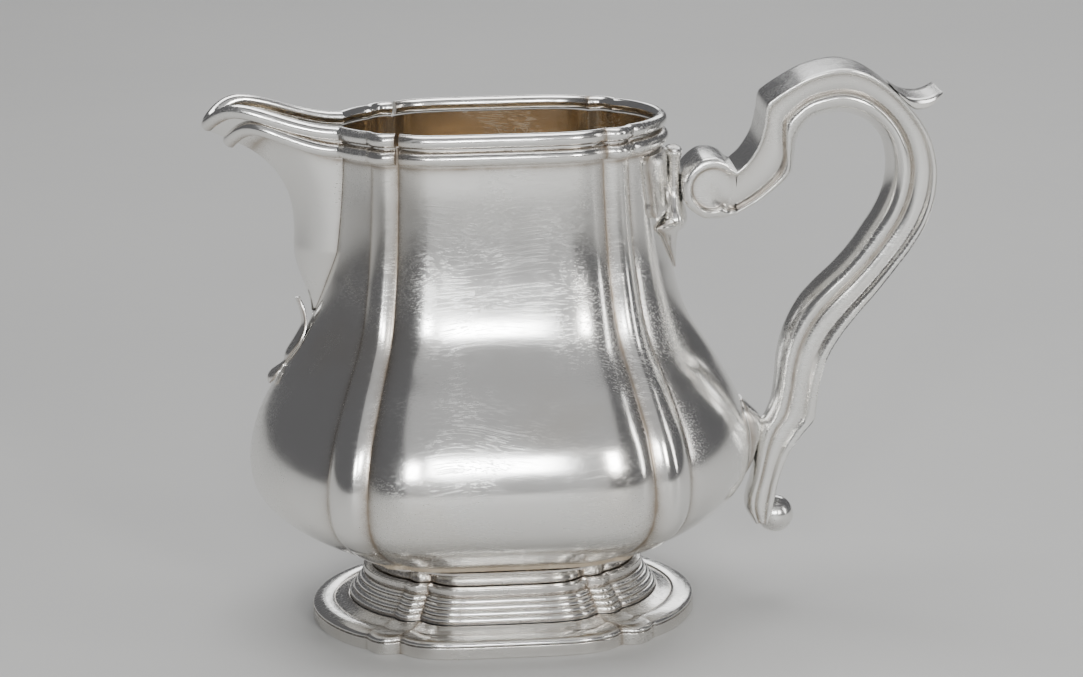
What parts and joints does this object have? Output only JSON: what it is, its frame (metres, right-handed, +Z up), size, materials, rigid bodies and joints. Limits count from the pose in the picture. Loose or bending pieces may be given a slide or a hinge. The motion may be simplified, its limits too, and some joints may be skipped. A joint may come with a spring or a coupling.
{
  "type": "cream jug",
  "caption": "Silver cream jug: lobed baluster body, beaked spout, double wire rim, stepped spreading foot and a cast scroll handle with a back strap and ball end.",
  "frame": {"origin": "in the plane that the foot stands on, under the middle of the whole length from lip to handle; the body's own axis is 13.3 mm towards the spout", "axes": "+X from the spout to the handle, +Y from the front long panel to the back one, +Z up"},
  "size_m": [0.1266, 0.0646, 0.0974],
  "materials": {
    "polished_silver": "hand-polished silver sheet with fine swirl scratches and warm tarnish in the creases, gilt inside",
    "cast_silver": "cast silver, satin on the flats and polished on the rolls"
  },
  "bodies": {
    "root": {"body_front_half": "polished_silver", "body_back_half": "polished_silver", "floor_plate": "polished_silver", "spout": "polished_silver", "spout_drop": "cast_silver", "upper_rim_wire": "polished_silver", "lower_rim_wire": "polished_silver", "upper_lip_wire": "polished_silver", "lower_lip_wire": "polished_silver", "foot_collar": "polished_silver", "foot_reeded_ring": "polished_silver", "foot_flange": "polished_silver", "foot_base_wire": "polished_silver", "handle_back_plate": "cast_silver", "handle_collar": "cast_silver", "handle_leaf_drop": "cast_silver", "handle_volute": "cast_silver", "handle_front_half": "cast_silver", "handle_back_half": "cast_silver", "handle_thumb_tip": "cast_silver", "handle_ball": "cast_silver", "handle_lower_mount": "cast_silver"}
  },
  "joints": []
}
